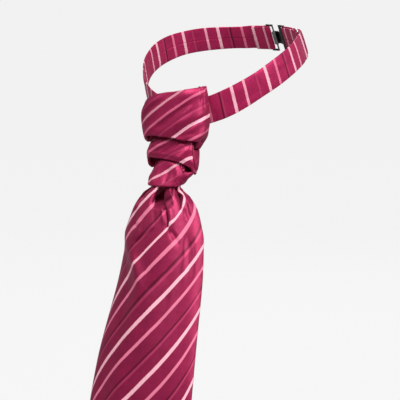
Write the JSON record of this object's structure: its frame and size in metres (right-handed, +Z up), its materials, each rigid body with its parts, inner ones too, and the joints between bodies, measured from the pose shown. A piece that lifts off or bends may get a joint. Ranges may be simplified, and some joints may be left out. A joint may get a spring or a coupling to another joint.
{
  "type": "silk cravat",
  "caption": "Pre-tied ruched cravat in striped silk satin: a tucked knot on an adjustable hooked neckband, with a pleated tail that flares to a pointed blade.",
  "frame": {"origin": "centre of the neck loop", "axes": "+Z up, the knot and tail face -Y, +X is the wearer's left"},
  "size_m": [0.1316, 0.2202, 0.4139],
  "materials": {
    "band_silk": "burgundy silk satin with pale pink stripes across the band",
    "knot_silk": "burgundy silk satin with pale pink diagonal stripes",
    "tail_silk": "burgundy silk satin with pale pink diagonal stripes",
    "closure_metal": "dark gunmetal"
  },
  "bodies": {
    "root": {"neckband_left": "band_silk", "neckband_right": "band_silk", "slider": "closure_metal", "hook": "closure_metal", "eye": "closure_metal", "tier_top": "knot_silk", "tier_middle": "knot_silk", "tier_bottom": "knot_silk", "knot_backing": "knot_silk", "tail": "tail_silk"}
  },
  "joints": []
}
